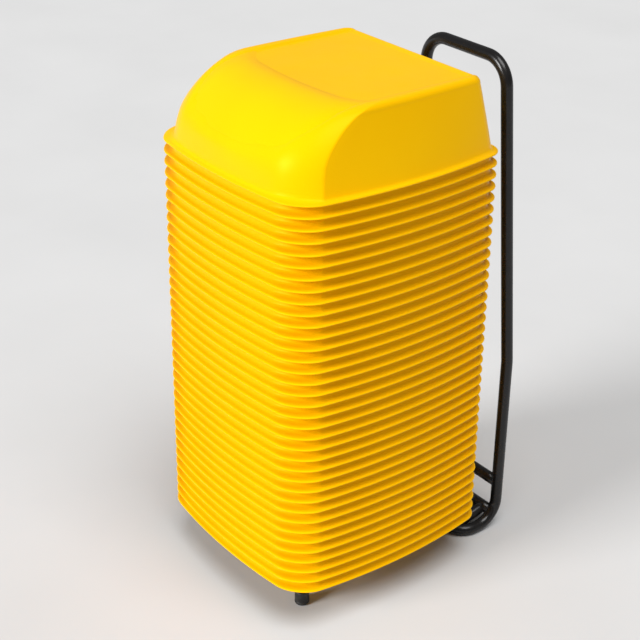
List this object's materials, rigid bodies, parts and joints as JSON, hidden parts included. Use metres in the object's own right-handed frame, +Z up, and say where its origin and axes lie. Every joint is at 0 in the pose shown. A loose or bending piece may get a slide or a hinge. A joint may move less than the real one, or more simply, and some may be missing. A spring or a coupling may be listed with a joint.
{
  "type": "stack of booster seats on stacking trolley",
  "caption": "Nesting moulded booster seats stacked on a bent-tube stand with a tall handle loop behind.",
  "frame": {"origin": "on the floor, under the middle of the footprint", "axes": "+Z up through the stack; -Y is the rolled front edge of the seats, +Y the back with the handle loop; +X across the width"},
  "size_m": [0.41, 0.5022, 0.863],
  "materials": {
    "seat_plastic": "moulded, satin gloss yellow",
    "frame_paint": "black powder-coated steel tube",
    "glide_plastic": "black moulded"
  },
  "bodies": {
    "trolley": {"handle_hoop": "frame_paint", "upright_left": "frame_paint", "upright_right": "frame_paint", "rear_foot_loop": "frame_paint", "crossbar_upper": "frame_paint", "crossbar_lower": "frame_paint", "heel_strut_left": "frame_paint", "heel_strut_right": "frame_paint", "cradle_rail_left": "frame_paint", "cradle_rail_right": "frame_paint", "front_leg_hoop": "frame_paint", "foot_glide_left": "glide_plastic", "foot_glide_right": "glide_plastic"},
    "seat_stack": {"seat_01": "seat_plastic", "seat_02": "seat_plastic", "seat_03": "seat_plastic", "seat_04": "seat_plastic", "seat_05": "seat_plastic", "seat_06": "seat_plastic", "seat_07": "seat_plastic", "seat_08": "seat_plastic", "seat_09": "seat_plastic", "seat_10": "seat_plastic", "seat_11": "seat_plastic", "seat_12": "seat_plastic", "seat_13": "seat_plastic", "seat_14": "seat_plastic", "seat_15": "seat_plastic", "seat_16": "seat_plastic", "seat_17": "seat_plastic", "seat_18": "seat_plastic", "seat_19": "seat_plastic", "seat_20": "seat_plastic", "seat_21": "seat_plastic", "seat_22": "seat_plastic", "seat_23": "seat_plastic", "seat_24": "seat_plastic", "seat_25": "seat_plastic", "seat_26": "seat_plastic", "seat_27": "seat_plastic", "seat_28": "seat_plastic", "seat_29": "seat_plastic", "seat_30": "seat_plastic", "seat_31": "seat_plastic", "seat_32": "seat_plastic", "seat_33": "seat_plastic"},
    "seat_34": {"seat_34": "seat_plastic"},
    "seat_35": {"seat_35": "seat_plastic"},
    "seat_36": {"seat_36": "seat_plastic"}
  },
  "joints": [
    {"name": "stack_lift", "type": "slide", "parent": "trolley", "child": "seat_stack", "axis": [0, 0, 1], "range_m": [0, 0.13]},
    {"name": "seat_34_lift", "type": "slide", "parent": "seat_stack", "child": "seat_34", "axis": [0, 0, 1], "range_m": [0, 0.12]},
    {"name": "seat_35_lift", "type": "slide", "parent": "seat_34", "child": "seat_35", "axis": [0, 0, 1], "range_m": [0, 0.12]},
    {"name": "seat_36_lift", "type": "slide", "parent": "seat_35", "child": "seat_36", "axis": [0, 0, 1], "range_m": [0, 0.12]}
  ]
}
